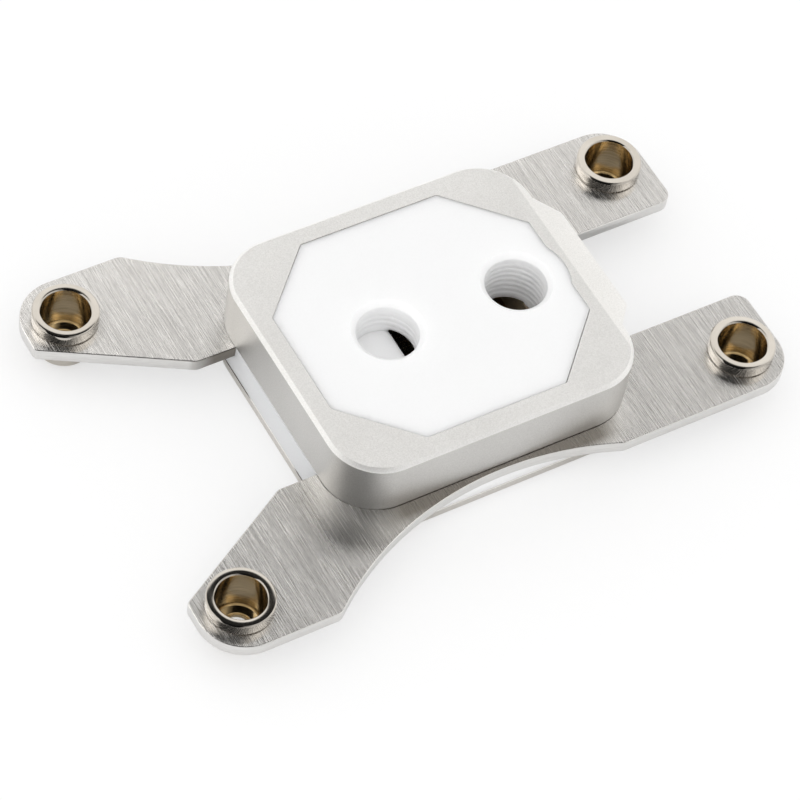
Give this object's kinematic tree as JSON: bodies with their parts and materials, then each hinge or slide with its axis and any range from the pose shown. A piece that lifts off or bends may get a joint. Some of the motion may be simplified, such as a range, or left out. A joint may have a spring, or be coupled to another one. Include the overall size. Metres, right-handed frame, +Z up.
{
  "type": "liquid cooling cold plate",
  "caption": "Processor water block: casing round a white ported insert, pin-field cold plate below, and a flat bracket whose arms end in bushings for sprung screws.",
  "frame": {"origin": "middle of the cold plate's contact face", "axes": "+Z up, away from the processor; +X towards the pair of arms whose holes lie closer together; +Y completes a right-handed frame"},
  "size_m": [0.1238, 0.0842, 0.0205],
  "materials": {
    "casing": "bead blasted, satin, pale warm grey",
    "insert": "machined white acetal, satin",
    "bracket": "stainless steel, grain brushed along Y",
    "plate": "nickel-plated copper, bright edges",
    "bushing": "turned, nickel-plated, bright, warm inside",
    "screw": "stainless steel",
    "seal": "black rubber"
  },
  "bodies": {
    "root": {"casing": "casing", "port_insert": "insert", "mounting_bracket": "bracket", "cold_plate": "plate", "main_seal": "seal", "bushing_wide_front": "bushing", "bushing_wide_rear": "bushing", "bushing_narrow_front": "bushing", "bushing_narrow_rear": "bushing", "casing_screw_1": "screw", "casing_screw_2": "screw", "casing_screw_3": "screw", "casing_screw_4": "screw", "plate_screw_1": "screw", "plate_screw_2": "screw", "plate_screw_3": "screw", "plate_screw_4": "screw", "plate_screw_5": "screw", "plate_screw_6": "screw", "plate_screw_7": "screw", "plate_screw_8": "screw"}
  },
  "joints": []
}
